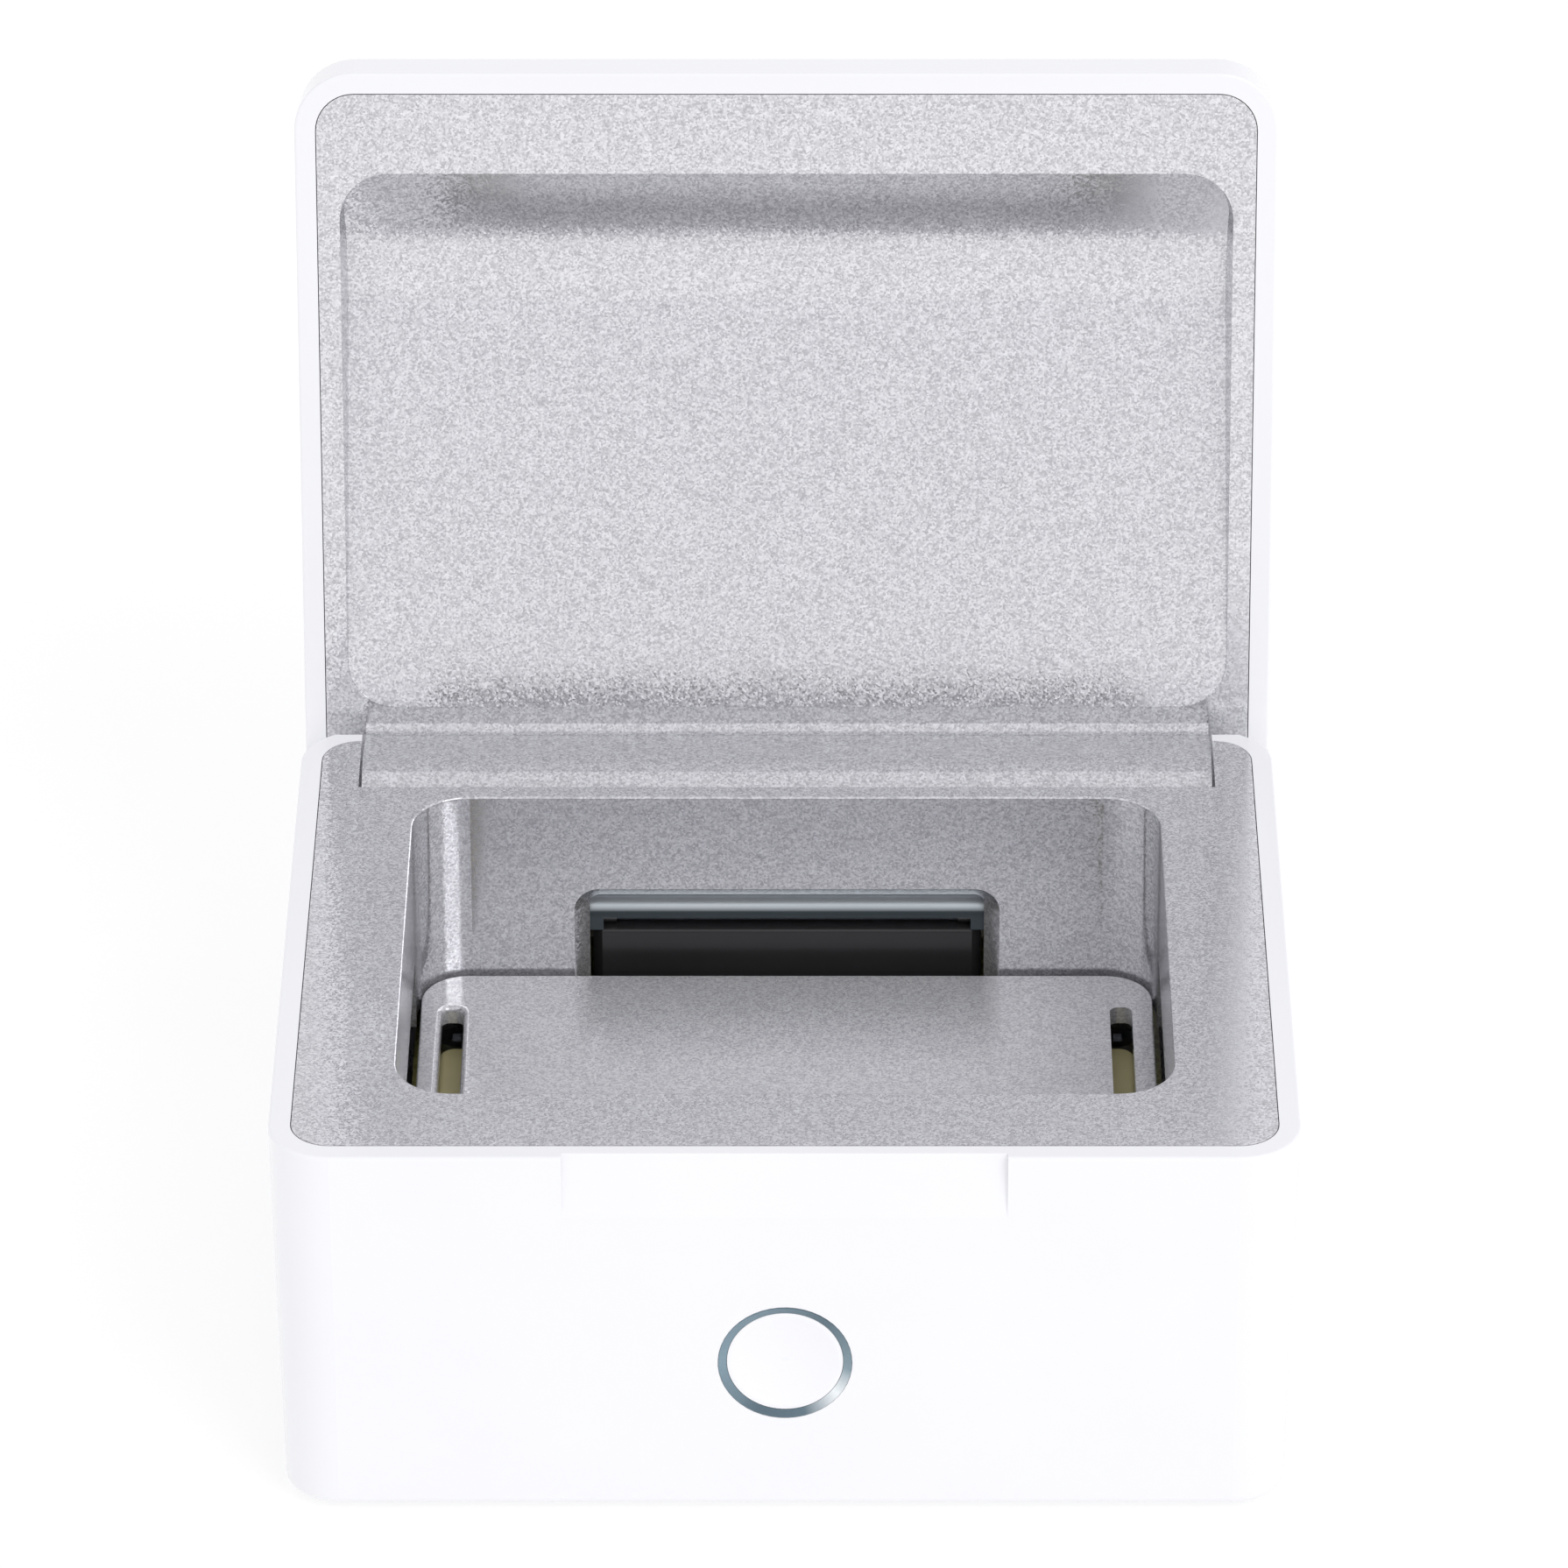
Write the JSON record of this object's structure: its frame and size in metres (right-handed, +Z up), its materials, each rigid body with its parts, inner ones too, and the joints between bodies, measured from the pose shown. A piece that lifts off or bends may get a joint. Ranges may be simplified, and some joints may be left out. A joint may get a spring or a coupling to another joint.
{
  "type": "hearing aid dryer",
  "caption": "Box-shaped electric dryer for hearing aids, with a hinged lid, a metallic drying chamber with a tray, a fan and heater below it, a lamp behind it and a push button.",
  "frame": {"origin": "on the surface the dryer stands on, under the middle of its case", "axes": "+X to the right as seen by someone facing the button, +Y to the hinge side, +Z up"},
  "size_m": [0.105, 0.1106, 0.1151],
  "materials": {
    "white_case": "glossy white plastic",
    "white_base": "fine-grained white plastic",
    "silver_deck": "silver metallic paint, satin",
    "silver_tray": "silver metallic paint, satin",
    "button_white": "glossy white plastic",
    "bright_metal": "polished, blue-grey",
    "steel": "zinc-plated steel",
    "pin_steel": "ground steel",
    "magnet": "nickel-plated magnet",
    "rubber": "matt light grey rubber",
    "board_green": "dark olive circuit board with solder mask",
    "black_plastic": "black plastic",
    "duct_khaki": "khaki insulating plastic",
    "bracket_beige": "beige insulating board",
    "heater": "bare aluminium",
    "polished_hood": "polished dark metal",
    "lamp_glass": "clear quartz glass",
    "lamp_cap": "bare metal",
    "winding": "enamelled copper windings",
    "capacitor": "aluminium can"
  },
  "bodies": {
    "base": {"base_shell": "white_case", "base_plate": "white_base", "foot_strip": "rubber", "base_screws": "steel", "deck_panel": "silver_deck", "tray": "silver_tray", "deck_magnets": "magnet", "hinge_pins": "pin_steel", "button_ring": "bright_metal", "tact_switch": "black_plastic", "switch_board": "board_green", "switch_board_screws": "steel", "circuit_board": "board_green", "board_screws": "steel", "control_chip": "black_plastic", "capacitors": "capacitor", "thermal_cutoff": "black_plastic", "fan_frame": "black_plastic", "fan_stator": "winding", "fan_screws": "steel", "air_duct": "duct_khaki", "heater_plate": "heater", "lamp_box": "black_plastic", "lamp_hood": "polished_hood", "uv_lamp": "lamp_glass", "lamp_caps": "lamp_cap", "lamp_board": "board_green", "lamp_bracket": "bracket_beige", "power_socket": "black_plastic", "socket_pin": "pin_steel"},
    "lid": {"lid_shell": "white_case", "lid_liner": "silver_deck", "lid_magnets": "magnet"},
    "button": {"button_cap": "button_white", "switch_plunger": "black_plastic"},
    "fan": {"fan_rotor": "black_plastic", "fan_shaft": "pin_steel"}
  },
  "joints": [
    {"name": "lid_hinge", "type": "hinge", "parent": "base", "child": "lid", "pos_m": [0, 0.03785, 0.0371], "axis": [1, 0, 0], "range_deg": [0, 100.5]},
    {"name": "button_travel", "type": "slide", "parent": "base", "child": "button", "axis": [0, 0.9999, 0.0166], "range_m": [0, 0.0005], "stiffness_N_per_m": 600, "springref_m": -0.001},
    {"name": "fan_spin", "type": "hinge", "parent": "base", "child": "fan", "pos_m": [0, -0.001, 0.0132], "axis": [0, 0, 1], "continuous": true}
  ]
}
